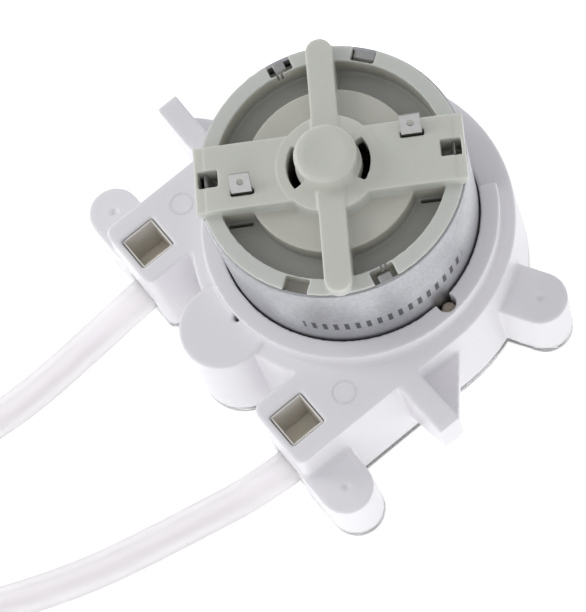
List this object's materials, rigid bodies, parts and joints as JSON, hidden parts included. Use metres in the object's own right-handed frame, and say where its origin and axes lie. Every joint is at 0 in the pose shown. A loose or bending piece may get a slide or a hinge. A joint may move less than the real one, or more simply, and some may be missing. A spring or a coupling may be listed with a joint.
{
  "type": "peristaltic pump",
  "caption": "Small peristaltic pump: a white moulded housing with arms and bosses, a round motor on its back, planetary rollers inside and two soft tube ends.",
  "frame": {"origin": "on the motor shaft's axis, at the outer face of the front cover", "axes": "+Z along the shaft from the cover to the motor, -Y towards the tubes, and the plane x = 0 is the middle of the housing"},
  "size_m": [0.0739, 0.1335, 0.0383],
  "materials": {
    "white_plastic": "moulded white ABS, satin",
    "clear_plastic": "clear moulded plastic",
    "milky_nylon": "milky natural nylon, faintly green",
    "natural_plastic": "natural acetal",
    "grey_plastic": "grey acetal",
    "silicone": "translucent silicone rubber",
    "screw_steel": "plated steel",
    "can_steel": "zinc plated drawn steel",
    "core_steel": "varnished laminations",
    "ferrite": "sintered ferrite",
    "copper": "copper",
    "bronze": "sintered bronze",
    "pinion_brass": "cut brass"
  },
  "bodies": {
    "housing": {"rear_housing": "white_plastic", "front_cover": "clear_plastic", "cover_screw_1": "screw_steel", "cover_screw_2": "screw_steel", "cover_screw_3": "screw_steel", "cover_screw_4": "screw_steel", "cover_screw_5": "screw_steel", "ring_gear": "natural_plastic", "pump_tube": "silicone", "tube_clamp_left": "natural_plastic", "tube_clamp_right": "natural_plastic", "tube_tail_left": "silicone", "tube_tail_right": "silicone", "motor_screw_1": "screw_steel", "motor_screw_2": "screw_steel", "motor_can": "can_steel", "end_bell": "milky_nylon", "magnet_1": "ferrite", "magnet_2": "ferrite", "front_bearing": "bronze", "rear_bearing": "bronze", "terminal_1": "screw_steel", "terminal_2": "screw_steel", "brush_1": "bronze", "brush_2": "bronze"},
    "armature": {"motor_shaft": "screw_steel", "armature_core": "core_steel", "winding_1": "copper", "winding_2": "copper", "winding_3": "copper", "commutator": "copper", "sun_pinion": "pinion_brass", "shaft_washer": "natural_plastic"},
    "carrier": {"carrier_lower_plate": "white_plastic", "carrier_upper_plate": "white_plastic", "roller_pin_1": "screw_steel", "roller_pin_2": "screw_steel", "roller_pin_3": "screw_steel"},
    "planet_1": {"planet_roller_1": "grey_plastic"},
    "planet_2": {"planet_roller_2": "grey_plastic"},
    "planet_3": {"planet_roller_3": "grey_plastic"}
  },
  "joints": [
    {"name": "armature_spin", "type": "hinge", "parent": "housing", "child": "armature", "pos_m": [0, 0, 0.02], "axis": [0, 0, 1], "continuous": true},
    {"name": "carrier_spin", "type": "hinge", "parent": "housing", "child": "carrier", "pos_m": [0, 0, 0.006], "axis": [0, 0, 1], "continuous": true},
    {"name": "planet_1_spin", "type": "hinge", "parent": "carrier", "child": "planet_1", "pos_m": [0.009, 0, 0.006], "axis": [0, 0, 1], "continuous": true},
    {"name": "planet_2_spin", "type": "hinge", "parent": "carrier", "child": "planet_2", "pos_m": [-0.0045, 0.00779, 0.006], "axis": [0, 0, 1], "continuous": true},
    {"name": "planet_3_spin", "type": "hinge", "parent": "carrier", "child": "planet_3", "pos_m": [-0.0045, -0.00779, 0.006], "axis": [0, 0, 1], "continuous": true}
  ],
  "couplings": [
    {"joint": "carrier_spin", "follows": "armature_spin", "ratio": 0.16667},
    {"joint": "planet_1_spin", "follows": "armature_spin", "ratio": -0.41667},
    {"joint": "planet_2_spin", "follows": "armature_spin", "ratio": -0.41667},
    {"joint": "planet_3_spin", "follows": "armature_spin", "ratio": -0.41667}
  ]
}
